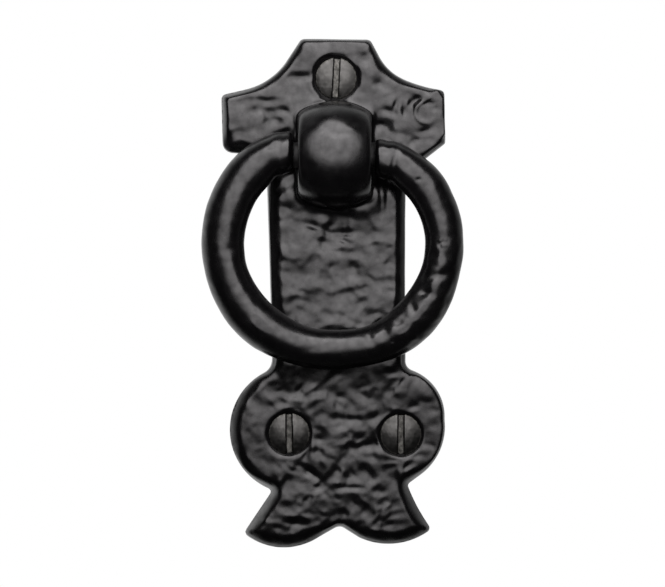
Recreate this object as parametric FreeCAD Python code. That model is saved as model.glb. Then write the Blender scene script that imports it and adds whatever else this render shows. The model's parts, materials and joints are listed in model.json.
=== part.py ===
import FreeCAD, Part
import math
import os

# Ring pull handle: a cast back plate with a domed boss, a ring hung in the boss, and three wood screws.
# Millimetres. X is to the right, Z is up and the front faces -Y.
# The origin is on the flat back face, straight behind the ring's pivot.

V = FreeCAD.Vector

# Back plate
plate_height = 102.2
plate_thickness = 4.0
side_draft = 0.5
shoulder_width = 1.35
shoulder_depth = 1.3
relief_top = 0.35

# Boss that carries the ring
boss_half_width = 7.3
boss_crown_radius = 10.5
boss_side_radius = 8.75
boss_edge_bevel = 0.7
boss_foot_flare = 0.4
boss_foot_height = 0.8

# Ring and its pivot
pivot_above_face = 5.4
peg_radius = 2.5
peg_clearance = 0.08
socket_depth = 4.6
peg_end_gap = 0.4
ring_left_gap = 1.15
ring_right_gap = 0.8
ring_end_bevel = 0.6
ring_lengths = 24

# Wood screws
head_radius = 4.2
head_dome = 0.9
head_sink = 0.5
shank_radius = 2.1
neck_radius = 2.35
neck_past_back = 0.3
shank_length = 5.5
thread_core_radius = 1.7
screw_reach = 15.5
point_length = 2.6
slot_width = 1.35
slot_depth = 1.1
hole_radius = 2.55

# Places seen from the front are in hundredths of the plate's height
hundredth = plate_height / 100

# Screw places, across and up, and the turn of each slot in degrees
screw_seats = [(0.29, 15.17, 3.0), (-8.9, -54.6, -1.0), (13.01, -54.79, 0.5)]

# Derived positions along Y
face_y = -plate_thickness
pivot_y = face_y - pivot_above_face
head_rim_y = face_y + head_sink
sink_mouth_radius = head_radius + head_sink


def point(xz, y=0.0):
    return V(xz[0], y, xz[1])


def placed(xz):
    return xz[0] * hundredth, xz[1] * hundredth


def line(a, b):
    return Part.LineSegment(point(a), point(b)).toShape()


def arc(a, mid, b):
    return Part.Arc(point(a), point(mid), point(b)).toShape()


# Outline of the plate, going clockwise from its top left corner, in hundredths of its height.
# Each corner has its place, its rounding, and the middle of the curve that leaves it, if it is curved.
plate_corners = [
    ((-6.6, 23.04), 1.08, None),
    ((7.0, 22.9), 0.98, None),
    ((8.46, 20.21), 0.0, (10.71, 17.03)),
    ((14.19, 14.82), 0.0, (17.71, 13.65)),
    ((21.58, 12.82), 0.68, None),
    ((21.82, 2.45), 0.34, None),
    ((14.04, -3.62), 0.0, (13.89, -19.57)),
    ((13.99, -40.02), 0.0, (14.24, -41.39)),
    ((15.31, -42.17), 0.0, (20.06, -45.89)),
    ((21.67, -51.86), 0.0, (20.79, -57.88)),
    ((17.03, -62.67), 0.0, None),
    ((14.33, -64.63), 0.49, (15.9, -68.25)),
    ((19.08, -73.39), 0.78, (11.45, -76.32)),
    ((4.84, -75.1), 0.0, None),
    ((0.98, -72.65), 1.76, None),
    ((-3.91, -75.49), 0.0, (-10.57, -77.05)),
    ((-17.91, -74.17), 0.88, (-14.87, -69.67)),
    ((-12.23, -65.75), 0.59, (-20.6, -53.13)),
    ((-14.14, -42.76), 0.0, (-12.77, -41.59)),
    ((-12.33, -40.02), 0.0, (-12.72, -24.46)),
    ((-13.31, -6.26), 0.0, (-14.43, -1.57)),
    ((-18.0, 0.39), 0.0, None),
    ((-22.02, 0.68), 1.96, None),
    ((-22.31, 11.99), 0.88, None),
    ((-17.81, 13.01), 0.0, (-12.48, 15.46)),
    ((-9.2, 19.03), 0.0, None),
]


def segment(start, middle, end):
    if middle is None:
        return line(start, end)
    return arc(start, middle, end)


def toward(edge, at_end):
    t = edge.tangentAt(edge.LastParameter if at_end else edge.FirstParameter)
    return t.x, t.z


# The plate's outline, moved inward by the given amount, as a wire at height y
def plate_wire(inset, y):
    count = len(plate_corners)
    places = [placed(corner[0]) for corner in plate_corners]
    curves = [placed(corner[2]) if corner[2] else None for corner in plate_corners]
    sharp = [segment(places[i], curves[i], places[(i + 1) % count]) for i in range(count)]
    moved, middles = [], []
    for i, edge in enumerate(sharp):
        (ax, az), (bx, bz) = toward(sharp[i - 1], True), toward(edge, False)
        share = inset / (1.0 + ax * bx + az * bz)
        moved.append((places[i][0] + (az + bz) * share, places[i][1] - (ax + bx) * share))
        if curves[i]:
            half = edge.tangentAt((edge.FirstParameter + edge.LastParameter) / 2)
            mx, mz = curves[i]
            middles.append((mx + half.z * inset, mz - half.x * inset))
        else:
            middles.append(None)
    edges, starts, ends = [], [], []
    for i in range(count):
        ux, uz = toward(segment(moved[i - 1], middles[i - 1], moved[i]), True)
        vx, vz = toward(segment(moved[i], middles[i], moved[(i + 1) % count]), False)
        size = plate_corners[i][1] * hundredth * (1.0 - inset / (3 * (side_draft + shoulder_width)))
        px, pz = moved[i]
        turn = math.acos(max(-1.0, min(1.0, ux * vx + uz * vz)))
        back = size * math.tan(turn / 2)
        ends.append((px - ux * back, pz - uz * back))
        starts.append((px + vx * back, pz + vz * back))
        deep = size * (1.0 / math.cos(turn / 2) - 1.0)
        bx, bz = vx - ux, vz - uz
        long = math.hypot(bx, bz) or 1.0
        crest = (px + bx / long * deep, pz + bz / long * deep)
        edges.append(arc(ends[i], crest, starts[i]) if size else None)
    wire = []
    for i in range(count):
        if edges[i]:
            wire.append(edges[i])
        wire.append(segment(starts[i], middles[i], ends[(i + 1) % count]))
    wire = Part.Wire(wire)
    wire.translate(V(0, y, 0))
    return wire


# Hollows and ridges of the cast face: place, reach and height of each, in hundredths of the plate's height
face_marks = [
    (-6.85, 15.85, 3.33, -0.2),
    (-12.33, 7.73, 3.52, -0.22),
    (11.25, 9.1, 3.13, -0.23),
    (18.4, 9.59, 3.13, 0.2),
    (-0.59, -14.29, 3.52, -0.25),
    (7.44, -10.37, 3.33, 0.2),
    (6.36, -25.44, 4.11, -0.16),
    (-5.38, -43.54, 3.91, -0.18),
    (12.72, -45.4, 3.33, 0.2),
    (2.54, -55.19, 4.11, 0.2),
    (-5.38, -61.94, 3.52, -0.25),
    (2.74, -63.21, 3.33, -0.22),
    (-9.3, -69.47, 3.91, 0.18),
    (7.44, -68.0, 3.91, 0.18),
    (18.2, -55.97, 3.33, -0.18),
]

# Long waves of the cast face: height, waves per hundredth of the plate's height along X and Z, and start
face_waves = [
    (0.05, 0.087, 0.031, 0.4),
    (0.04, -0.051, 0.09, 1.9),
]


# Height of the cast face at a place, all in hundredths of the plate's height
def face_height(x, z):
    h = 0.0
    for size, along_x, along_z, start in face_waves:
        h += size * math.sin(2 * math.pi * (along_x * x + along_z * z) + start)
    for mark_x, mark_z, reach, size in face_marks:
        d2 = ((x - mark_x) ** 2 + (z - mark_z) ** 2) / reach**2
        h += size * math.exp(-2.0 * d2)
    return h


def face_point(x, z):
    return V(x * hundredth, face_y - face_height(x, z) * hundredth, z * hundredth)


# Everything behind the uneven cast face, as one block
def behind_face():
    surface = Part.BSplineSurface()
    surface.interpolate([[face_point(x, z) for z in range(-81, 28, 3)] for x in range(-24, 25, 3)])
    return surface.toShape().extrude(V(0, 2 * plate_thickness, 0))


# The plate before its face is made uneven: sides that lean in, and a sloping shoulder
def plate_blank():
    shoulder_y = face_y - relief_top + shoulder_depth
    wires = [
        plate_wire(0.0, 0.0),
        plate_wire(side_draft, shoulder_y),
        plate_wire(side_draft + shoulder_width, face_y - relief_top),
    ]
    return Part.makeLoft(wires, True, True)


# Outline of the boss: flat sides, arched top and bottom, bevelled corners
def boss_arch(grow, upper):
    s = 1.0 if upper else -1.0
    w = boss_half_width + grow
    crown, side = s * (boss_crown_radius + grow), s * (boss_side_radius + grow)
    low = side - s * boss_edge_bevel
    return [
        line((-w, 0.0), (-w, low)),
        line((-w, low), (-w + boss_edge_bevel, side)),
        arc((-w + boss_edge_bevel, side), (0.0, crown), (w - boss_edge_bevel, side)),
        line((w - boss_edge_bevel, side), (w, low)),
        line((w, low), (w, 0.0)),
    ]


def boss_section(grow, y):
    wire = Part.Wire(Part.__sortEdges__(boss_arch(grow, True) + boss_arch(grow, False)))
    wire.translate(V(0, y, 0))
    return wire


# The boss is half a barrel about the pivot, straight back to the plate, with a small flare at its foot
def boss():
    half = Part.Wire(boss_arch(0.0, True) + [line((boss_half_width, 0.0), (-boss_half_width, 0.0))])
    barrel = Part.Face(half).revolve(V(0, 0, 0), V(1, 0, 0), 180)
    barrel.translate(V(0, pivot_y, 0))
    inside = face_y + plate_thickness / 4
    body = Part.Face(boss_section(0.0, pivot_y)).extrude(V(0, inside - pivot_y, 0))
    foot_top = face_y - relief_top - boss_foot_height
    foot = Part.makeLoft([boss_section(0.0, foot_top), boss_section(boss_foot_flare, inside)], True, True)
    return barrel.fuse([body, foot])


def along_x(radius, x0, x1):
    return Part.makeCylinder(radius, x1 - x0, V(x0, pivot_y, 0), V(1, 0, 0))


def sockets():
    inner, outer = boss_half_width - socket_depth, 2 * boss_half_width
    r = peg_radius + peg_clearance
    return [along_x(r, -outer, -inner), along_x(r, inner, outer)]


def screw_hole(x, z):
    deep = sink_mouth_radius - hole_radius
    over = 4 * relief_top
    sink = Part.makeCone(
        sink_mouth_radius + over, hole_radius, deep + over, V(x, face_y - over, z), V(0, 1, 0)
    )
    shaft = Part.makeCylinder(hole_radius, 2 * plate_thickness, V(x, face_y, z), V(0, 1, 0))
    return sink.fuse(shaft)


def back_plate():
    plate = plate_blank().common(behind_face())
    plate = plate.fuse(boss())
    return plate.cut(sockets() + [screw_hole(*placed(seat)) for seat in screw_seats]).removeSplitter()


# Middle line of the ring's bar from its left end round to its right end, with the bar's radius at each
# place, in hundredths of the plate's height. The two ends are moved sideways to stand off the boss.
ring_bar = [
    (-8.27, 0.59, 4.06),
    (-11.06, 0.29, 4.31),
    (-14.29, -1.47, 4.45),
    (-17.66, -4.6, 4.45),
    (-20.69, -10.57, 4.4),
    (-21.97, -17.12, 4.31),
    (-20.79, -23.78, 4.26),
    (-17.66, -29.79, 4.4),
    (-12.82, -34.39, 4.35),
    (-7.44, -37.08, 4.01),
    (-0.29, -38.11, 3.91),
    (7.05, -37.13, 3.86),
    (12.57, -34.78, 4.35),
    (17.37, -29.94, 4.31),
    (20.5, -23.92, 3.96),
    (21.48, -17.12, 3.86),
    (20.84, -12.13, 3.91),
    (18.2, -6.65, 4.01),
    (15.07, -3.23, 4.06),
    (11.4, -1.37, 4.06),
    (7.93, -0.59, 3.77),
]


# One round section of the bar, square to the middle line
def bar_section(middle, travel, radius):
    across = V(0, 1, 0).cross(travel)
    frame = FreeCAD.Matrix(
        across.x, 0, travel.x, middle.x,
        across.y, 1, travel.y, middle.y,
        across.z, 0, travel.z, middle.z,
        0, 0, 0, 1,
    )
    circle = Part.Wire(Part.Circle(V(0, 0, 0), V(0, 0, 1), radius).toShape())
    circle.Placement = FreeCAD.Placement(frame)
    return circle


# The bar is drawn out in short forged lengths between round sections, with its cut ends bevelled
def ring_bar_solid():
    path = Part.BSplineCurve()
    stations = [V(x, radius, z) * hundredth for x, z, radius in ring_bar]
    stations[0].x = -boss_half_width - ring_left_gap
    stations[-1].x = boss_half_width + ring_right_gap
    path.interpolate(Points=stations)
    sections = []
    for i in range(ring_lengths + 1):
        at = path.value(path.LastParameter * i / ring_lengths)
        travel = path.tangent(path.LastParameter * i / ring_lengths)[0]
        travel = V(travel.x, 0, travel.z).normalize()
        middle, radius = V(at.x, pivot_y, at.z), at.y
        if i in (0, ring_lengths):
            travel = V(-1, 0, 0)
            step = V(ring_end_bevel if i else -ring_end_bevel, 0, 0)
            narrow = bar_section(middle, travel, radius - ring_end_bevel)
            full = bar_section(middle + step, travel, radius)
            sections += [full, narrow] if i else [narrow, full]
        else:
            sections.append(bar_section(middle, travel, radius))
    return Part.makeLoft(sections, True, True)


def ring():
    tip = boss_half_width - socket_depth + peg_end_gap
    root = boss_half_width + ring_left_gap + peg_radius
    pegs = [along_x(peg_radius, -root, -tip), along_x(peg_radius, tip, root)]
    return ring_bar_solid().fuse(pegs).removeSplitter()


# One slotted wood screw with its head's rim at y = 0, pointing to +Y
def wood_screw():
    back = -head_rim_y
    crown = 2 * head_dome
    profile = [
        (0.0, -crown),
        (head_radius, -crown),
        (head_radius, 0.0),
        (neck_radius, head_radius - neck_radius),
        (neck_radius, back + neck_past_back),
        (shank_radius, back + neck_past_back),
        (shank_radius, back + neck_past_back + shank_length),
        (thread_core_radius, back + neck_past_back + shank_length),
        (thread_core_radius, back + screw_reach - point_length),
        (0.0, back + screw_reach),
        (0.0, -crown),
    ]
    outline = Part.Face(Part.makePolygon([V(r, y, 0) for r, y in profile]))
    blank = outline.revolve(V(0, 0, 0), V(0, 1, 0), 360)
    dome_radius = (head_radius**2 + head_dome**2) / (2 * head_dome)
    dome = Part.makeSphere(dome_radius)
    dome.translate(V(0, dome_radius - head_dome, 0))
    wide = 4 * head_radius
    body = Part.makeBox(wide, 2 * screw_reach, wide, V(-wide / 2, head_dome, -wide / 2))
    screw = blank.common(dome.fuse(body))
    slot = Part.makeBox(slot_width, slot_depth, wide, V(-slot_width / 2, -head_dome, -wide / 2))
    return screw.cut(slot).removeSplitter()


def wood_screws():
    screws = []
    for seat in screw_seats:
        screw = wood_screw()
        screw.rotate(V(0, 0, 0), V(0, 1, 0), seat[2])
        screw.translate(point(placed(seat), head_rim_y))
        screws.append(screw)
    return Part.makeCompound(screws)


os.makedirs("parts", exist_ok=True)
back_plate().exportStep("parts/back_plate.step")
ring().exportStep("parts/ring.step")
wood_screws().exportStep("parts/wood_screws.step")
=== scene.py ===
import bpy
import json
import math
import numpy as np
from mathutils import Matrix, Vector
from mathutils.kdtree import KDTree


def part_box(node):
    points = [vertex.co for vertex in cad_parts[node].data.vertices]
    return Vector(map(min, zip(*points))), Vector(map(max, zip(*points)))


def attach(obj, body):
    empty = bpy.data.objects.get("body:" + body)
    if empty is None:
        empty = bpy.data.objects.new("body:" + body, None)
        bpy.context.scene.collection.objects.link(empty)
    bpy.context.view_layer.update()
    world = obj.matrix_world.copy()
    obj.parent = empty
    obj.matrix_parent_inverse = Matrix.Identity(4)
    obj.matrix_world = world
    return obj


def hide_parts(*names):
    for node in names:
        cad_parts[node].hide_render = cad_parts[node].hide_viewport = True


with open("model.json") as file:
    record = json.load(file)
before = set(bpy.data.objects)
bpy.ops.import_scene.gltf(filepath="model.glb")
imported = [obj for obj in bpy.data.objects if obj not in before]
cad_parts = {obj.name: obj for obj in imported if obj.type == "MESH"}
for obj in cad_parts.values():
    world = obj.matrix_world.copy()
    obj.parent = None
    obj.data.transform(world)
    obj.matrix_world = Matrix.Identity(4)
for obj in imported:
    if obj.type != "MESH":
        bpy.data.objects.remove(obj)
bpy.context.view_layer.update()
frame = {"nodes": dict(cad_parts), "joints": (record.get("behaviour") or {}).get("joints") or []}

# Ring pull handle: the cast plate, the ring and the screws as they look, in a plain studio.
# Points, places and heights of the part's surfaces are millimetres, in the part's frame.
# Voxels, lamps, floor and camera are metres.
MM = 0.001

# The photograph's frame, and the ring's pivot in it
PHOTO_WIDTH = 665
PHOTO_HEIGHT = 587
PHOTO_PX_PER_MM = 4.97
PIVOT_PX = (334.6, 156.0)

# From the CAD: the ring's pivot, and how far the plate's face is in front of its back
pivot_y = frame["joints"][0]["pos_m"][1] / MM
PLATE_DEPTH = 4.0

# A smooth random field turns its points, so that its cells don't line up with the part
FIELD_TURN = np.array([[0.80, 0.36, 0.48], [-0.60, 0.48, 0.64], [0.0, -0.80, 0.60]])
FIELD_STEP_PER_SEED = 3.17
HASH_PRIMES = (374761393, 668265263, 1442695041)
HASH_SEED_PRIME = 974634777
HASH_MIXERS = ((13, 1274126177), (15, 2246822519))

# Layers of the casting's lumps: height and size in millimetres, and seed
LARGE_LUMPS = (0.24, 3.4, 1)
MIDDLING_LUMPS = (0.19, 2.0, 2)
SMALL_LUMPS = (0.07, 1.2, 3)
GRIT = (0.012, 0.75, 5)
LUMP_BENDS = ((0.9, 4.0, 11), (0.9, 4.0, 12), (0.9, 4.0, 13))


# A value from -1 to 1 for each cell of the field, the same every run
def lattice(cell, seed):
    mixed = cell @ np.array(HASH_PRIMES) + seed * HASH_SEED_PRIME
    for shift, factor in HASH_MIXERS:
        mixed = (mixed ^ (mixed >> shift)) * factor & 0xFFFFFFFF
    return ((mixed ^ (mixed >> 16)) & 0xFFFF) / 32767.5 - 1.0


# The smooth random field, from -1 to 1, with cells of the given size
def field(points, size, seed):
    turned = points @ FIELD_TURN.T / size + seed * FIELD_STEP_PER_SEED
    base = np.floor(turned).astype(np.int64)
    part = turned - base
    ease = part * part * part * (part * (part * 6 - 15) + 10)
    total = np.zeros(len(points))
    for corner in range(8):
        offset = np.array([corner & 1, corner >> 1 & 1, corner >> 2 & 1])
        weight = np.prod(np.where(offset, ease, 1 - ease), axis=1)
        total += weight * lattice(base + offset, seed)
    return total


# One layer of the field, in millimetres of height
def layer(points, height, size, seed):
    return height * field(points, size, seed)


# From 0 at the start to 1 at the end. For x and z these are places measured from the ring's pivot.
def smoothstep(start, end, value):
    t = np.clip((value - start) / (end - start), 0, 1)
    return t * t * (3 - 2 * t)


# 1 at nought, falling away to both sides
def bell(value):
    return np.exp(-(value**2))


# As bell, with a flatter top and steeper sides
def mesa(value):
    return np.exp(-(value**4))


# Lumps left by the casting, drawn out across X: shares of the broad and the small ones, and the drawing
def cast_lumps(points, broad=1.0, small=1.0, squeeze=0.74):
    bent = points + np.stack([layer(points, *bend) for bend in LUMP_BENDS], 1)
    drawn = bent * np.array([squeeze, 1.0, 1.0])
    lumps = broad * layer(drawn, *LARGE_LUMPS)
    lumps += (broad + small) / 2 * layer(drawn, *MIDDLING_LUMPS)
    return lumps + small * (layer(bent, *SMALL_LUMPS) + layer(points, *GRIT))


# Single dents and ridges seen from the front: x, z, half length, half width, turn in degrees, height
def marks(points, rows):
    height = np.zeros(len(points))
    for x, z, long, wide, turn, size in rows:
        c, s = math.cos(math.radians(turn)), math.sin(math.radians(turn))
        dx, dz = points[:, 0] - x, points[:, 2] - z
        along, across = dx * c + dz * s, dz * c - dx * s
        height += size * np.exp(-((along / long) ** 2) - (across / wide) ** 2)
    return height


CROSSBAR_MARKS = [
    (-5.5, 16.0, 5.0, 3.5, 0, 0.22),
    (-6.9, 15.7, 2.1, 1.05, 0, -0.58),
    (-12.2, 7.0, 1.9, 1.0, -8, -0.58),
    (-16.2, 8.9, 1.5, 0.9, 5, -0.38),
    (-10.2, 9.0, 1.3, 0.7, -20, -0.32),
    (-10.0, 4.6, 1.2, 0.8, 0, -0.26),
    (-17.5, 5.2, 1.6, 1.0, 10, -0.12),
    (9.1, 14.2, 1.4, 0.75, -20, -0.32),
    (11.0, 8.7, 1.5, 0.7, -20, -0.38),
    (12.3, 10.1, 1.4, 0.55, 75, -0.34),
    (14.0, 9.0, 1.2, 0.55, 90, -0.36),
    (14.4, 10.4, 1.3, 0.35, 75, 0.15),
    (16.2, 11.0, 1.8, 0.7, 35, -0.40),
    (18.9, 10.6, 1.0, 0.6, 0, -0.38),
    (20.2, 9.4, 0.6, 0.5, 0, -0.30),
    (11.2, 12.0, 1.2, 0.6, 30, -0.20),
    (9.1, 6.1, 2.2, 0.9, -5, -0.34),
    (12.0, 4.6, 1.4, 0.8, -15, -0.26),
    (16.2, 2.8, 1.6, 0.7, 30, -0.30),
    (18.2, 4.8, 1.2, 0.6, 20, -0.28),
    (19.4, 7.0, 1.0, 0.7, 60, 0.18),
]
SHAFT_MARKS = [
    (9.2, -8.4, 1.8, 0.4, 95, -0.20),
    (10.5, -8.6, 2.2, 0.45, 92, -0.22),
    (8.5, -7.5, 1.5, 0.5, 100, 0.15),
    (-4.6, -14.0, 1.7, 0.85, -15, -0.42),
    (-1.7, -15.3, 1.2, 0.7, -35, -0.34),
    (1.4, -15.6, 2.4, 0.75, 5, -0.40),
    (1.9, -17.2, 1.4, 0.55, -20, -0.26),
    (2.6, -19.6, 1.6, 0.8, 0, -0.24),
    (-7.5, -12.0, 1.6, 1.2, 0, 0.16),
    (-10.0, -21.1, 1.2, 0.7, 0, -0.16),
    (6.9, -24.6, 1.6, 0.8, -25, -0.18),
    (4.0, -22.6, 1.3, 0.7, 10, -0.12),
    (11.2, -18.5, 0.7, 0.5, 0, -0.14),
    (11.0, -23.0, 0.8, 0.5, -30, -0.14),
    (1.1, -27.7, 1.8, 0.8, 10, -0.16),
    (-6.5, -27.2, 1.4, 0.7, -10, -0.16),
    (-2.0, -24.9, 1.8, 0.7, 0, -0.12),
    (5.2, -29.6, 1.6, 0.8, 20, -0.16),
    (-8.0, -30.5, 1.6, 0.8, -20, -0.14),
]
LOBE_MARKS = [
    (-4.95, -47.0, 1.9, 0.45, 38, 0.16),
    (-6.9, -46.8, 1.4, 0.55, 50, -0.20),
    (-12.0, -50.1, 2.2, 1.0, 10, -0.22),
    (2.1, -52.8, 2.8, 1.0, -5, -0.28),
    (8.1, -52.7, 2.0, 0.8, 10, -0.20),
    (11.6, -47.2, 1.0, 0.4, 50, -0.22),
    (13.6, -45.3, 1.4, 0.4, 50, -0.20),
    (12.6, -46.0, 1.3, 0.35, 50, 0.14),
    (-11.5, -53.2, 1.2, 0.6, 0, -0.12),
    (-2.9, -56.8, 1.2, 0.8, 0, -0.22),
    (6.1, -58.3, 3.2, 0.8, 15, -0.30),
    (-4.9, -63.6, 2.8, 0.75, -35, -0.60),
    (1.4, -63.6, 3.0, 0.8, 49, 0.16),
    (3.6, -66.7, 2.2, 0.5, 0, -0.30),
    (0.6, -65.8, 0.5, 0.4, 0, 0.18),
    (-3.9, -66.4, 0.4, 0.3, 0, -0.15),
    (19.2, -58.1, 1.5, 0.5, -20, -0.22),
    (-14.3, -60.8, 2.2, 1.0, -35, -0.18),
    (-16.5, -56.5, 1.6, 0.8, -60, -0.12),
    (16.5, -50.0, 1.4, 0.8, 30, -0.14),
    (15.3, -62.0, 1.8, 0.7, 25, -0.22),
    (11.5, -61.8, 1.8, 0.5, 5, 0.16),
    (0.5, -48.5, 1.6, 0.7, -10, -0.14),
    (5.5, -46.5, 1.4, 0.6, 15, -0.12),
]
TAIL_MARKS = [
    (9.1, -70.0, 0.8, 0.7, 0, -0.22),
    (5.8, -69.2, 2.6, 0.5, -45, 0.18),
    (4.6, -70.2, 2.2, 0.6, -45, -0.20),
    (-7.5, -72.4, 3.0, 0.55, -5, 0.20),
    (-8.0, -73.8, 2.6, 0.6, -5, -0.24),
    (-11.5, -74.6, 1.2, 0.6, -10, -0.16),
    (11.1, -74.0, 1.0, 0.6, 10, -0.20),
]
BOSS_MARKS = [
    (-5.0, 6.5, 1.6, 1.3, 35, -0.22),
    (0.0, 9.0, 6.0, 4.0, 0, 0.32),
    (-0.8, 6.9, 2.2, 1.2, 0, 0.08),
    (4.6, 6.3, 1.8, 1.3, -35, -0.24),
    (0.2, 2.6, 3.4, 0.9, -8, 0.07),
    (1.0, 3.9, 1.8, 0.55, -5, -0.10),
    (3.6, 5.2, 0.9, 0.6, 0, 0.07),
    (-5.2, -2.4, 1.4, 1.0, -40, -0.08),
]
RING_MARKS = [
    (12.1, -0.4, 3.6, 0.60, 78, -0.26),
    (10.3, 1.4, 1.2, 0.9, 0, 0.10),
    (16.8, -5.0, 0.6, 0.45, 0, -0.20),
    (9.4, 0.6, 0.8, 0.5, 0, -0.16),
    (14.6, -2.6, 1.2, 0.8, -40, -0.12),
    (19.2, -15.9, 0.35, 0.30, 0, 0.15),
    (22.4, -20.3, 1.5, 1.2, -10, -0.24),
    (19.8, -19.8, 0.9, 0.8, 0, -0.18),
    (20.4, -24.2, 2.4, 0.95, 12, -0.40),
    (18.2, -27.6, 1.7, 0.85, -15, -0.34),
    (15.6, -30.6, 1.3, 0.8, -60, -0.24),
    (12.8, -33.6, 1.2, 0.9, -10, -0.26),
    (10.2, -35.2, 1.1, 0.9, -70, -0.16),
    (6.9, -36.6, 2.0, 0.95, -62, -0.26),
    (11.7, -37.8, 0.5, 0.40, 0, 0.16),
    (-20.8, -18.8, 1.2, 0.9, 0, -0.14),
    (-13.0, 0.9, 0.4, 0.30, 0, -0.10),
    (-17.0, -31.8, 2.2, 1.0, 40, -0.12),
    (-4.0, -38.6, 2.6, 0.9, 10, -0.12),
]
# The bar is a little fuller than the CAD one at these places, in the same form as the marks
RING_SWELLS = [
    (-18.0, -34.5, 9.0, 5.0, -45, 0.24),
    (19.5, -35.5, 8.0, 4.5, 48, 0.27),
]
# The soft crest along the bar's front: turn from straight up in degrees, how far it lies outside the
# bar's middle line, its half width and its height
RING_CRESTS = [
    (-100.0, -1.1, 1.7, 0.26),
    (-140.0, -0.6, 1.8, 0.16),
    (-180.0, -0.2, 2.2, 0.04),
    (140.0, -0.3, 1.3, 0.24),
    (110.0, -0.3, 1.2, 0.26),
    (70.0, -0.1, 1.4, 0.10),
    (30.0, 0.0, 2.0, 0.00),
    (-30.0, -0.4, 2.0, 0.04),
]


# A dense, slightly rounded copy of a CAD node, in its own place
def dense_copy(node, name, voxel, rounds):
    piece = bpy.data.objects.new(name, frame["nodes"][node].data.copy())
    bpy.context.scene.collection.objects.link(piece)
    remesh = piece.modifiers.new("dense", "REMESH")
    remesh.mode = "VOXEL"
    remesh.voxel_size = voxel
    smooth = piece.modifiers.new("rounded", "SMOOTH")
    smooth.factor = 0.5
    smooth.iterations = rounds
    evaluated = piece.evaluated_get(bpy.context.evaluated_depsgraph_get())
    shaped = bpy.data.meshes.new_from_object(evaluated)
    shaped.name = name
    piece.modifiers.clear()
    piece.data = shaped
    return piece


# One vector for each vertex or face of a mesh
def vectors_of(items, what):
    flat = np.empty(len(items) * 3)
    items.foreach_get(what, flat)
    return flat.reshape(-1, 3)


def points_of(mesh):
    return vectors_of(mesh.vertices, "co") / MM


def normals_of(mesh):
    return vectors_of(mesh.vertices, "normal")


# Puts the points back, none of them outside the CAD node's own box
def put_points(mesh, points, node):
    low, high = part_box(node)
    inside = np.clip(points, np.array(low) / MM, np.array(high) / MM)
    mesh.vertices.foreach_set("co", (inside * MM).ravel())
    mesh.polygons.foreach_set("use_smooth", [True] * len(mesh.polygons))
    mesh.update()


# Moves each point towards the middle of its neighbours, by its own share, the given number of times
def ease_points(mesh, points, share, rounds):
    ends = np.empty(len(mesh.edges) * 2, dtype=np.int32)
    mesh.edges.foreach_get("vertices", ends)
    edges = ends.reshape(-1, 2)
    here, there = np.concatenate([edges, edges[:, ::-1]]).T
    count = np.bincount(here, minlength=len(points))
    for _ in range(rounds):
        total = np.stack([np.bincount(here, points[there, axis], len(points)) for axis in range(3)], 1)
        points = points + 0.5 * share[:, None] * (total / count[:, None] - points)
    return points


# Gives a piece its materials, sets it on the body that it rides on, and hides the CAD node that it
# stands for
def dress(piece, materials, body, node):
    piece.data.materials.clear()
    for material in materials:
        piece.data.materials.append(material)
    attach(piece, body)
    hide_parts(node)


# Gives the chosen faces the piece's second material
def second_material(mesh, chosen):
    mesh.polygons.foreach_set("material_index", chosen.astype(np.int32))


# Places of the screws, from the points of the CAD screws that reach furthest back
def find_screws():
    points = points_of(frame["nodes"]["wood_screws"].data)
    tip_band, head_radius = 0.05, 4.0
    tips = points[points[:, 1] > points[:, 1].max() - tip_band]
    places = []
    for x, _, z in tips:
        if all(math.hypot(x - a, z - b) > head_radius for a, b in places):
            places.append((float(x), float(z)))
    return places


screw_places = find_screws()
top_screw = max(screw_places, key=lambda place: place[1])


# How far each point is from the nearest screw's middle line, seen from the front
def screw_gap(points):
    return np.min([np.hypot(points[:, 0] - x, points[:, 2] - z) for x, z in screw_places], axis=0)


# Back plate
PLATE_VOXEL = 0.00032
# The outline is read from walls that face sideways in a band of depth, clear of the screws' holes, and
# its direction is averaged within a distance
OUTLINE_DEPTHS = (0.3, 1.2)
OUTLINE_SIDEWAYS = 0.9
OUTLINE_FROM_SCREWS = 6.05
OUTLINE_EASING = 0.9
# The CAD rim: a side that leans in up to a depth, and a shoulder that slopes on from there
SIDE_LEAN = 0.5
SIDE_DEPTH = 3.05
SHOULDER_WIDTH = 1.35
SHOULDER_DEPTH = 1.3


# The way the plate's side faces where the outline is nearest to each point, and the distance to it, both
# seen from the front
def nearest_side(points, normals):
    depth, sideways = -points[:, 1], np.hypot(normals[:, 0], normals[:, 2])
    wall = (depth > OUTLINE_DEPTHS[0]) & (depth < OUTLINE_DEPTHS[1]) & (sideways > OUTLINE_SIDEWAYS)
    wall &= screw_gap(points) > OUTLINE_FROM_SCREWS
    flat = np.array([1.0, 0.0, 1.0])
    outline, sides = points[wall] * flat, normals[wall]
    tree = KDTree(len(outline))
    for i, place in enumerate(outline):
        tree.insert(place, i)
    tree.balance()
    close = [[i for _, i, _ in tree.find_range(place, OUTLINE_EASING)] for place in outline]
    eased = np.array([sides[rows].mean(axis=0) for rows in close]) * flat
    eased /= np.linalg.norm(eased, axis=1)[:, None]
    found = [tree.find(place) for place in points * flat]
    return eased[[i for _, i, _ in found]], np.array([gap for _, _, gap in found])


# Share of the CAD rim's width that is left at each place: the cast rim is crisper up its right side
def rim_share(points):
    x, _, z = points.T
    crossbar_end = smoothstep(18.5, 20.5, x) * smoothstep(3.0, 4.5, z)
    top_edge = smoothstep(20.0, 22.0, z)
    right_lobe = smoothstep(13.0, 17.0, x) * smoothstep(-41.0, -45.0, z) * smoothstep(-64.0, -60.0, z)
    return 1 - 0.85 * crossbar_end - 0.35 * top_edge - 0.45 * right_lobe


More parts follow.
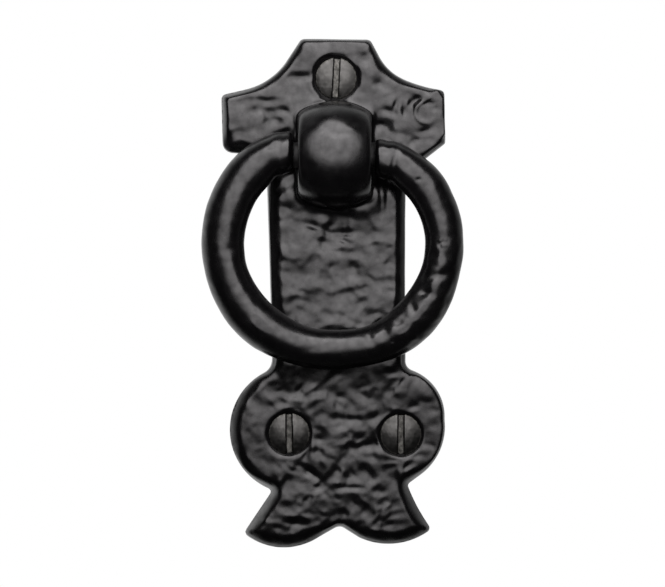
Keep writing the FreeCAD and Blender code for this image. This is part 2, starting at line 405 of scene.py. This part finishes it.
# How far the CAD rim stands inside the outline at each depth
def cad_rim(depth):
    side = SIDE_LEAN * depth / SIDE_DEPTH
    shoulder = SIDE_LEAN + SHOULDER_WIDTH * (depth - SIDE_DEPTH) / SHOULDER_DEPTH
    return np.where(depth < SIDE_DEPTH, side, shoulder)


# Rounds the plate's rim: the CAD one is two flat slopes, and the cast one curves over from side to face
def round_rim(points, outward, away):
    x, y, z = points.T
    depth = np.clip(-y, 0, PLATE_DEPTH)
    left_lobe = smoothstep(-12.0, -16.0, x) * smoothstep(-41.0, -45.0, z) * smoothstep(-66.0, -62.0, z)
    power = 2.2 + 1.2 * left_lobe
    curve = 1 - (1 - (depth / PLATE_DEPTH) ** power) ** (1 / power)
    move = cad_rim(depth) - rim_share(points) * cad_rim(PLATE_DEPTH) * curve
    near_outline = smoothstep(4.4, 1.9, away)
    off_screws = smoothstep(4.8, 6.5, screw_gap(points))
    move *= near_outline * off_screws
    return points + outward * np.where(y < 0, move, 0)[:, None]


# Places where the rim falls away more: x, z, reach across and up, width of the slope, depth where it
# starts, and how quickly it levels out
SOFT_RIMS = [
    (-21.0, 8.0, 5.0, 7.0, 1.6, 1.0, 2.2),
    (-11.0, 17.5, 5.5, 5.0, 1.9, 2.2, 1.9),
    (12.0, 17.0, 5.5, 4.5, 1.9, 2.2, 1.9),
    (-20.5, 1.5, 3.5, 3.0, 3.2, 1.6, 1.8),
    (-13.0, -22.0, 4.0, 19.0, 2.8, 2.3, 1.5),
    (14.0, -22.0, 4.0, 19.0, 2.2, 1.8, 1.8),
    (-20.0, -53.0, 7.0, 10.0, 2.4, 1.3, 1.8),
    (-15.0, -71.0, 4.5, 6.0, 2.6, 0.0, 1.9),
    (17.0, -70.0, 4.5, 6.0, 2.6, 0.3, 1.9),
    (-9.0, -78.0, 9.0, 3.5, 2.8, 1.2, 2.1),
    (12.0, -77.0, 9.0, 3.5, 2.8, 1.2, 2.1),
]


# Lowers the face toward the outline at the places above
def soften_rim(points, away):
    depth = -points[:, 1]
    for x, z, across, up, width, start, power in SOFT_RIMS:
        near = mesa((points[:, 0] - x) / across) * mesa((points[:, 2] - z) / up)
        t = np.clip(away / width, 0, 1)
        limit = start + (np.maximum(depth, PLATE_DEPTH) - start) * (1 - (1 - t) ** power)
        lower = np.where(away < width, np.minimum(depth, limit), depth)
        depth = depth + near * (lower - depth)
    lowered = points.copy()
    lowered[:, 1] = -depth
    return lowered


# 1 in the corner where the boss's foot meets the face, 0 elsewhere
def boss_foot(points):
    x, y, z = points.T
    near_boss = smoothstep(9.6, 8.8, np.abs(x)) * smoothstep(12.0, 11.0, np.abs(z))
    return near_boss * smoothstep(3.8, 4.1, -y) * smoothstep(6.4, 5.4, -y)


# Eases the boss's foot, rounds the rim, and softens it in places
def shape_rim(piece):
    points, normals = points_of(piece.data), normals_of(piece.data)
    outward, away = nearest_side(points, normals)
    eased = ease_points(piece.data, points, boss_foot(points), rounds=20)
    rounded = round_rim(eased, outward, away)
    away = nearest_side(rounded, normals)[1]
    put_points(piece.data, soften_rim(rounded, away), "back_plate")


# How much plainer the face is at the sides of the lobes and on the right tail
def plainness(points):
    x, _, z = points.T
    lobes = smoothstep(-43.0, -46.0, z) * smoothstep(-66.0, -62.0, z)
    sides = 0.35 * smoothstep(13.5, 17.5, x) + 0.5 * smoothstep(-11.0, -15.0, x)
    return sides * lobes + 0.5 * smoothstep(10.5, 14.5, x) * smoothstep(-66.0, -69.0, z)


# Lumps of the face: broad ones at the top, rounder and smaller ones on the lobes, calmer under the ring
def face_lumps(points):
    x, _, z = points.T
    upper, lobes = smoothstep(-42.0, 6.0, z), smoothstep(-40.0, -48.0, z)
    drawn = cast_lumps(points, broad=1 + 0.5 * upper, small=1 - 0.45 * upper)
    blotched = cast_lumps(points, broad=0.85, small=1.4, squeeze=1.05)
    calm = 0.5 * mesa((z + 44.4) / 2.8) * smoothstep(12.0, 8.0, np.abs(x))
    return (drawn + lobes * (blotched - drawn)) * (1 - calm)


# The curled tool mark at the right end of the crossbar, open to its right
def curl(points):
    x, _, z = points.T
    middle_x, middle_z, radius, half_width, height = 18.4, 8.75, 2.2, 0.40, 0.28
    off_line = np.hypot(x - middle_x, z - middle_z) - radius
    return height * bell(off_line / half_width) * smoothstep(0.9, -0.9, x - middle_x)


# The uneven swell behind the ring's lowest part
def swell(points):
    top_z, reach_up, reach_down = -40.8, 3.0, 3.8
    up = points[:, 2] - top_z + layer(points, height=0.9, size=7.0, seed=23)
    height = 0.72 + layer(points, height=0.18, size=5.0, seed=17)
    return height * bell(up / np.where(up > 0, reach_up, reach_down))


# How far the face is lowered right under the boss and beside its lower corners
def foot_hollow(points):
    x, _, z = points.T
    half_width, middle_z, edge, reach, depth = 6.0, -7.0, 3.0, 1.6, 0.5
    off_line = np.hypot(np.maximum(np.abs(x) - half_width, 0), z - middle_z)
    gap = np.clip(off_line - edge, 0, None)
    return depth * bell(gap / reach) * smoothstep(-4.0, -8.0, z)


# The shallow groove over the upper left of the top screw
def screw_groove(points):
    radius, half_width, depth = 4.4, 0.5, 0.12
    dx, dz = points[:, 0] - top_screw[0], points[:, 2] - top_screw[1]
    gap = np.hypot(dx, dz)
    to_upper_left = (0.9 * dz - 0.45 * dx) / np.maximum(gap, 0.1)
    return depth * bell((gap - radius) / half_width) * smoothstep(-0.1, 0.7, to_upper_left)


# Back plate: lumps and marks over its face, less on its sides and boss, none on its back or in its holes
def make_plate(material):
    piece = dense_copy("back_plate", "plate_casting", PLATE_VOXEL, rounds=4)
    shape_rim(piece)
    points, normals = points_of(piece.data), normals_of(piece.data)
    away = nearest_side(points, normals)[1]
    front = smoothstep(0.2, 1.6, -points[:, 1])
    facing = smoothstep(0.55, 0.95, -normals[:, 1])
    on_boss = smoothstep(PLATE_DEPTH + 0.9, PLATE_DEPTH + 2.0, -points[:, 1])
    on_plate = front * (1 - on_boss)
    off_screws = smoothstep(4.6, 5.3, screw_gap(points))
    off_rim = smoothstep(0.8, 2.8, away)
    share = front * off_screws * (0.25 + 0.75 * facing) * (1 - 0.92 * on_boss)
    share *= (0.4 + 0.6 * off_rim) * (1 - plainness(points))
    singles = marks(points, CROSSBAR_MARKS + SHAFT_MARKS + LOBE_MARKS + TAIL_MARKS)
    singles += curl(points) + swell(points)
    relief = share * (face_lumps(points) + (1 - on_boss) * facing * singles)
    relief += front * on_boss * marks(points, BOSS_MARKS) - on_plate * screw_groove(points)
    shaped = points + normals * relief[:, None]
    shaped[:, 1] -= on_plate * foot_hollow(points)
    put_points(piece.data, shaped, "back_plate")
    dress(piece, [material], "plate", "back_plate")


# Ring
RING_VOXEL = 0.00025
# The bar is measured in steps once round, where it is clear of the pegs, and the steps are eased
BAR_STEPS = 360
BAR_FROM_PIVOT = 10.5
FEWEST_POINTS = 20
STEPS_EASED = 7
# Moves the ring's points to another part of the random field, so that its lumps aren't the plate's
RING_LUMP_SHIFT = 60.0


# Smooths a row of values that goes once round, apart from a gap in it
def ease_round(values, known, reach):
    steps = np.arange(-3 * reach, 3 * reach + 1)
    total, weight = np.zeros(len(values)), np.zeros(len(values))
    for step, share in zip(steps, np.exp(-0.5 * (steps / reach) ** 2)):
        total += share * np.roll(values * known, step)
        weight += share * np.roll(known, step)
    return total / np.maximum(weight, 1e-6)


# Middle of the ring, and how far each point is from it across, in front and up
def from_middle(points):
    middle = (points.min(axis=0) + points.max(axis=0)) / 2
    middle[1] = pivot_y
    return middle, (points - middle).T


# The ring's bar as CAD drew it, once round: its outer, inner and front reach at each point
def bar_shape(points):
    dx, dy, dz = from_middle(points)[1]
    out = np.hypot(dx, dz)
    turn = (np.arctan2(dx, -dz) / (2 * math.pi) + 0.5) * BAR_STEPS
    step = np.floor(turn).astype(int) % BAR_STEPS
    off_pegs = np.hypot(points[:, 0], points[:, 2]) > BAR_FROM_PIVOT
    reaches, known = np.zeros((3, BAR_STEPS)), np.zeros(BAR_STEPS)
    for i in range(BAR_STEPS):
        here = off_pegs & (step == i)
        if here.sum() > FEWEST_POINTS:
            reaches[:, i] = out[here].max(), out[here].min(), np.abs(dy[here]).max()
            known[i] = 1.0
    at = np.arange(BAR_STEPS) + 0.5
    eased = [ease_round(row, known, STEPS_EASED) for row in reaches]
    return [np.interp(turn, at, row, period=BAR_STEPS) for row in eased]


# Draws the ring's bar smooth along its length: the CAD bar is made of short straight lengths
def smooth_bar(points):
    middle, (dx, dy, dz) = from_middle(points)
    rim, bore, deep = bar_shape(points)
    out, line, half = np.hypot(dx, dz), (rim + bore) / 2, (rim - bore) / 2
    around = np.arctan2(dy / deep, (out - line) / half)
    new_out = line + half * np.cos(around)
    smooth = middle + np.stack([dx / out * new_out, deep * np.sin(around), dz / out * new_out], 1)
    share = smoothstep(10.8, 13.0, np.hypot(points[:, 0], points[:, 2]))[:, None]
    return points + share * (smooth - points)


# Height of the soft crest along the front of the ring's bar, never above the bar's own surface
def crest(points):
    dx, _, dz = from_middle(points)[1]
    rim, bore, _ = bar_shape(points)
    across = np.hypot(dx, dz) - (rim + bore) / 2
    turn = np.degrees(np.arctan2(dx, dz))
    rows = np.array(sorted(RING_CRESTS))
    shift, width, height = (np.interp(turn, rows[:, 0], rows[:, i], period=360.0) for i in (1, 2, 3))
    return height * (bell((across - shift) / width) - 1)


# Height of the ring's surface: nearly smooth on its left, and hammered down its right side
def ring_relief(points, normals):
    x, _, z = points.T
    hammered = smoothstep(2.0, 14.0, x) * smoothstep(12.0, 19.0, -z)
    front = smoothstep(-0.5, 0.6, -normals[:, 1])
    blows = cast_lumps(points * 1.1 + RING_LUMP_SHIFT, broad=1.3, small=0.1)
    pits_x, pits_z, pits_spread = 21.4, -17.7, 1.2
    pitted = np.exp(-((x - pits_x) ** 2 + (z - pits_z) ** 2) / pits_spread)
    pits = pitted * layer(points, height=0.12, size=0.55, seed=8)
    relief = 0.15 * cast_lumps(points + RING_LUMP_SHIFT) + 0.6 * hammered * front**3 * blows
    relief += front * (marks(points, RING_MARKS) + crest(points) + pits)
    return relief + marks(points, RING_SWELLS) + layer(points, height=0.15, size=6.0, seed=31)


# Ring: a cast bar with unpainted pegs
def make_ring(material, bare_iron):
    piece = dense_copy("ring", "ring_bar", RING_VOXEL, rounds=8)
    put_points(piece.data, smooth_bar(points_of(piece.data)), "ring")
    points, normals = points_of(piece.data), normals_of(piece.data)
    off_pegs = smoothstep(8.6, 10.0, np.abs(points[:, 0])) + smoothstep(5.5, 7.0, -points[:, 2])
    relief = np.clip(off_pegs, 0, 1) * ring_relief(points, normals)
    put_points(piece.data, points + normals * relief[:, None], "ring")
    dress(piece, [material, bare_iron], "ring", "ring")
    peg_reach, peg_radius = 8.2, 3.0
    x, y, z = vectors_of(piece.data.polygons, "center").T / MM
    second_material(piece.data, (np.abs(x) < peg_reach) & (np.hypot(y - pivot_y, z) < peg_radius))


# Screws
SCREW_VOXEL = 0.00013
THREAD_PITCH = 2.5
THREAD_START = 5.8
THREAD_END = 15.2
THREAD_HEIGHT = 0.42
THREAD_HALF_WIDTH = 0.22
SHANK_REACH = 2.2


# Widens each screw's shank along a helix
def wind_thread(points):
    wound = points.copy()
    for x, z in screw_places:
        dx, y, dz = points[:, 0] - x, points[:, 1], points[:, 2] - z
        away = np.hypot(dx, dz)
        phase = (y / THREAD_PITCH - np.arctan2(dz, dx) / (2 * math.pi)) % 1.0
        ridge = np.clip(1 - np.abs(phase - 0.5) / THREAD_HALF_WIDTH, 0, 1)
        starts = smoothstep(THREAD_START, THREAD_START + 1.2, y)
        ends = smoothstep(THREAD_END, THREAD_END - 2.0, y)
        height = THREAD_HEIGHT * ridge * starts * ends
        grow = np.where(away < SHANK_REACH, height / np.maximum(away, 0.3), 0)
        wound[:, 0] += dx * grow
        wound[:, 2] += dz * grow
    return wound


# Screws: scuffed heads, slots with worn floors, and threads wound round the cores
def make_screws(material, worn):
    piece = dense_copy("wood_screws", "screws_slotted", SCREW_VOXEL, rounds=2)
    points = wind_thread(points_of(piece.data))
    scuff = layer(points, height=0.02, size=0.9, seed=21) * smoothstep(2.5, 3.4, -points[:, 1])
    put_points(piece.data, points + normals_of(piece.data) * scuff[:, None], "wood_screws")
    dress(piece, [material, worn], "plate", "wood_screws")
    depth = -vectors_of(piece.data.polygons, "center")[:, 1] / MM
    facing = -vectors_of(piece.data.polygons, "normal")[:, 1]
    in_slot = (depth > PLATE_DEPTH - 2.0) & (depth < PLATE_DEPTH - 0.35)
    second_material(piece.data, in_slot & (facing > 0.8))


# Materials
def node_material(name):
    material = bpy.data.materials.new(name)
    material.use_nodes = True
    tree = material.node_tree
    tree.nodes.clear()
    out = tree.nodes.new("ShaderNodeOutputMaterial")
    shader = tree.nodes.new("ShaderNodeBsdfPrincipled")
    tree.links.new(shader.outputs[0], out.inputs[0])
    return material, tree, shader


def noise(tree, source, scale, detail):
    made = tree.nodes.new("ShaderNodeTexNoise")
    made.inputs["Scale"].default_value = scale
    made.inputs["Detail"].default_value = detail
    tree.links.new(source, made.inputs["Vector"])
    return made.outputs["Fac"]


# A source's values from low to high, spread out from to_low to to_high
def spread(tree, source, low, high, to_low, to_high):
    made = tree.nodes.new("ShaderNodeMapRange")
    for socket, value in zip(made.inputs[1:5], (low, high, to_low, to_high)):
        socket.default_value = value
    tree.links.new(source, made.inputs[0])
    return made.outputs[0]


def mix_colour(tree, source, dark, light):
    made = tree.nodes.new("ShaderNodeMix")
    made.data_type = "RGBA"
    made.inputs[6].default_value = (*dark, 1)
    made.inputs[7].default_value = (*light, 1)
    tree.links.new(source, made.inputs[0])
    return made.outputs[2]


def grain(tree, shader, source, strength, distance):
    made = tree.nodes.new("ShaderNodeBump")
    made.inputs["Strength"].default_value = strength
    made.inputs["Distance"].default_value = distance
    tree.links.new(source, made.inputs["Height"])
    tree.links.new(made.outputs[0], shader.inputs["Normal"])


IRON_COLOURS = ((0.0014, 0.0013, 0.0015), (0.0026, 0.0024, 0.0027))
STEEL_COLOURS = ((0.045, 0.0445, 0.0425), (0.080, 0.079, 0.076))
WORN_COLOURS = ((0.025, 0.025, 0.023), (0.115, 0.113, 0.105))
FLOOR_COLOURS = ((0.86, 0.86, 0.85), (0.90, 0.90, 0.89))
SHEEN = (0.40, 0.66)
# Part of a noise's range that is spread over the whole range between two values
NOISE_RANGE = (0.3, 0.7)
# The roughness and the sheen vary on smaller scales than the colour, by these factors
ROUGHNESS_FINER = 1.7
SHEEN_FINER = 2.3


# A surface mottled between two colours, with its roughness, its sheen and its fine grain varied by noise
def mottled(name, colours, scale, roughness, grain_scale, grain_strength, grain_distance, metallic=0.0):
    material, tree, shader = node_material(name)
    shader.inputs["Metallic"].default_value = metallic
    place = tree.nodes.new("ShaderNodeTexCoord").outputs["Object"]
    fac = spread(tree, noise(tree, place, scale, 4.0), *NOISE_RANGE, 0.0, 1.0)
    tree.links.new(mix_colour(tree, fac, *colours), shader.inputs["Base Color"])
    rough = spread(tree, noise(tree, place, scale * ROUGHNESS_FINER, 3.0), *NOISE_RANGE, *roughness)
    tree.links.new(rough, shader.inputs["Roughness"])
    sheen = spread(tree, noise(tree, place, scale * SHEEN_FINER, 4.0), *NOISE_RANGE, *SHEEN)
    tree.links.new(sheen, shader.inputs["Specular IOR Level"])
    grain(tree, shader, noise(tree, place, grain_scale, 3.0), grain_strength, grain_distance)
    return material


# Studio
LAMP_COLOUR = (1.0, 0.967, 0.98)


# An elliptical lamp that the camera doesn't see
def soft_lamp(name, place, aim, width, height, radiance):
    data = bpy.data.lights.new(name, "AREA")
    data.shape = "ELLIPSE"
    data.size = width
    data.size_y = height
    area = math.pi / 4 * width * height
    data.energy = radiance * math.pi * area
    data.color = LAMP_COLOUR
    lamp = bpy.data.objects.new(name, data)
    lamp.location = place
    lamp.rotation_euler = (aim - place).to_track_quat("-Z", "Y").to_euler()
    lamp.visible_camera = False
    bpy.context.scene.collection.objects.link(lamp)


def join(tree, operation, first, second):
    made = tree.nodes.new("ShaderNodeMath")
    made.operation = operation
    for socket, source in zip(made.inputs, (first, second)):
        tree.links.new(source, socket)
    return made.outputs[0]


# Strength of the dim room in front of the part, and of the white behind it
ROOM = 0.02
WHITE = 1.0


# White for the camera and behind the part for mirrored rays, and a dim room in front of it
def make_world():
    world = bpy.data.worlds.new("studio")
    bpy.context.scene.world = world
    world.use_nodes = True
    tree = world.node_tree
    tree.nodes.clear()
    out = tree.nodes.new("ShaderNodeOutputWorld")
    rays = tree.nodes.new("ShaderNodeLightPath").outputs
    split = tree.nodes.new("ShaderNodeSeparateXYZ")
    tree.links.new(tree.nodes.new("ShaderNodeTexCoord").outputs["Generated"], split.inputs[0])
    behind = spread(tree, split.outputs["Y"], 0.0, 0.55, 0.0, 1.0)
    to_left = spread(tree, split.outputs["X"], -0.2, 0.8, 1.0, 0.35)
    backdrop = join(tree, "MULTIPLY", behind, to_left)
    mirrored = join(tree, "MAXIMUM", rays["Is Glossy Ray"], rays["Is Transmission Ray"])
    white = join(tree, "MAXIMUM", rays["Is Camera Ray"], join(tree, "MULTIPLY", mirrored, backdrop))
    mix = tree.nodes.new("ShaderNodeMixShader")
    tree.links.new(white, mix.inputs[0])
    for strength, socket in ((ROOM, mix.inputs[1]), (WHITE, mix.inputs[2])):
        light = tree.nodes.new("ShaderNodeBackground")
        light.inputs["Strength"].default_value = strength
        light.inputs["Color"].default_value = (1, 1, 1, 1)
        tree.links.new(light.outputs[0], socket)
    tree.links.new(mix.outputs[0], out.inputs[0])


def make_floor():
    mesh = bpy.data.meshes.new("floor")
    half, drop = 1.0, -2.0
    corners = [(-half, -half, drop), (half, -half, drop), (half, half, drop), (-half, half, drop)]
    mesh.from_pydata(corners, [], [(0, 1, 2, 3)])
    floor = bpy.data.objects.new("floor", mesh)
    bpy.context.scene.collection.objects.link(floor)
    mesh.materials.append(
        mottled(
            "pale_floor",
            FLOOR_COLOURS,
            scale=6.0,
            roughness=(0.75, 0.85),
            grain_scale=90.0,
            grain_strength=0.1,
            grain_distance=0.0005,
        )
    )


CAMERA_DISTANCE = 1.2
SENSOR_WIDTH = 36.0


# The camera looks straight at the front, with the photograph's frame at the plate's back
def make_camera():
    data = bpy.data.cameras.new("camera")
    camera = bpy.data.objects.new("camera", data)
    bpy.context.scene.collection.objects.link(camera)
    across = (PHOTO_WIDTH / 2 - PIVOT_PX[0]) / PHOTO_PX_PER_MM * MM
    up = (PIVOT_PX[1] - PHOTO_HEIGHT / 2) / PHOTO_PX_PER_MM * MM
    camera.location = (across, -CAMERA_DISTANCE, up)
    camera.rotation_euler = (math.pi / 2, 0, 0)
    data.sensor_fit = "HORIZONTAL"
    data.sensor_width = SENSOR_WIDTH
    data.lens = SENSOR_WIDTH * CAMERA_DISTANCE / (PHOTO_WIDTH / PHOTO_PX_PER_MM * MM)
    data.clip_start = 0.05
    data.clip_end = 20.0
    bpy.context.scene.camera = camera


# A softbox that grows brighter upward, as lamps with one upper edge: height, width, radiance
SOFTBOX = [
    (0.329, 0.290, 0.34),
    (0.307, 0.285, 0.50),
    (0.285, 0.280, 0.60),
    (0.261, 0.272, 0.85),
    (0.234, 0.262, 0.47),
    (0.201, 0.248, 0.42),
    (0.158, 0.225, 0.42),
    (0.120, 0.195, 0.52),
    (0.098, 0.170, 0.57),
]
SOFTBOX_TOP = Vector((0.0, -0.0802, 0.1896))
SOFTBOX_DOWN = Vector((0.0, -0.399, -0.917))
SOFTBOX_FACING = Vector((0.0, 0.917, -0.399))
# Lamps in one plane lose light, so each is a little behind the one before
LAMP_STEP = 0.002


def make_softbox():
    for i, (height, width, radiance) in enumerate(SOFTBOX):
        middle = SOFTBOX_TOP + SOFTBOX_DOWN * (height / 2) - SOFTBOX_FACING * (LAMP_STEP * i)
        soft_lamp(f"softbox_{i}", middle, middle + SOFTBOX_FACING, width, height, radiance)


iron = mottled(
    "black_iron_satin",
    IRON_COLOURS,
    scale=260.0,
    roughness=(0.20, 0.29),
    grain_scale=900.0,
    grain_strength=0.30,
    grain_distance=0.00005,
)
bare_iron = mottled(
    "peg_iron_dull",
    IRON_COLOURS,
    scale=500.0,
    roughness=(0.60, 0.75),
    grain_scale=900.0,
    grain_strength=0.30,
    grain_distance=0.00005,
)
steel = mottled(
    "screw_steel",
    STEEL_COLOURS,
    scale=700.0,
    roughness=(0.28, 0.44),
    grain_scale=2600.0,
    grain_strength=0.3,
    grain_distance=0.00003,
    metallic=1.0,
)
worn = mottled(
    "screw_slot_worn",
    WORN_COLOURS,
    scale=1400.0,
    roughness=(0.35, 0.55),
    grain_scale=3000.0,
    grain_strength=0.6,
    grain_distance=0.00005,
    metallic=1.0,
)
make_plate(iron)
make_ring(iron, bare_iron)
make_screws(steel, worn)
make_floor()
make_world()
make_softbox()
make_camera()
bpy.context.scene.view_settings.view_transform = "Standard"
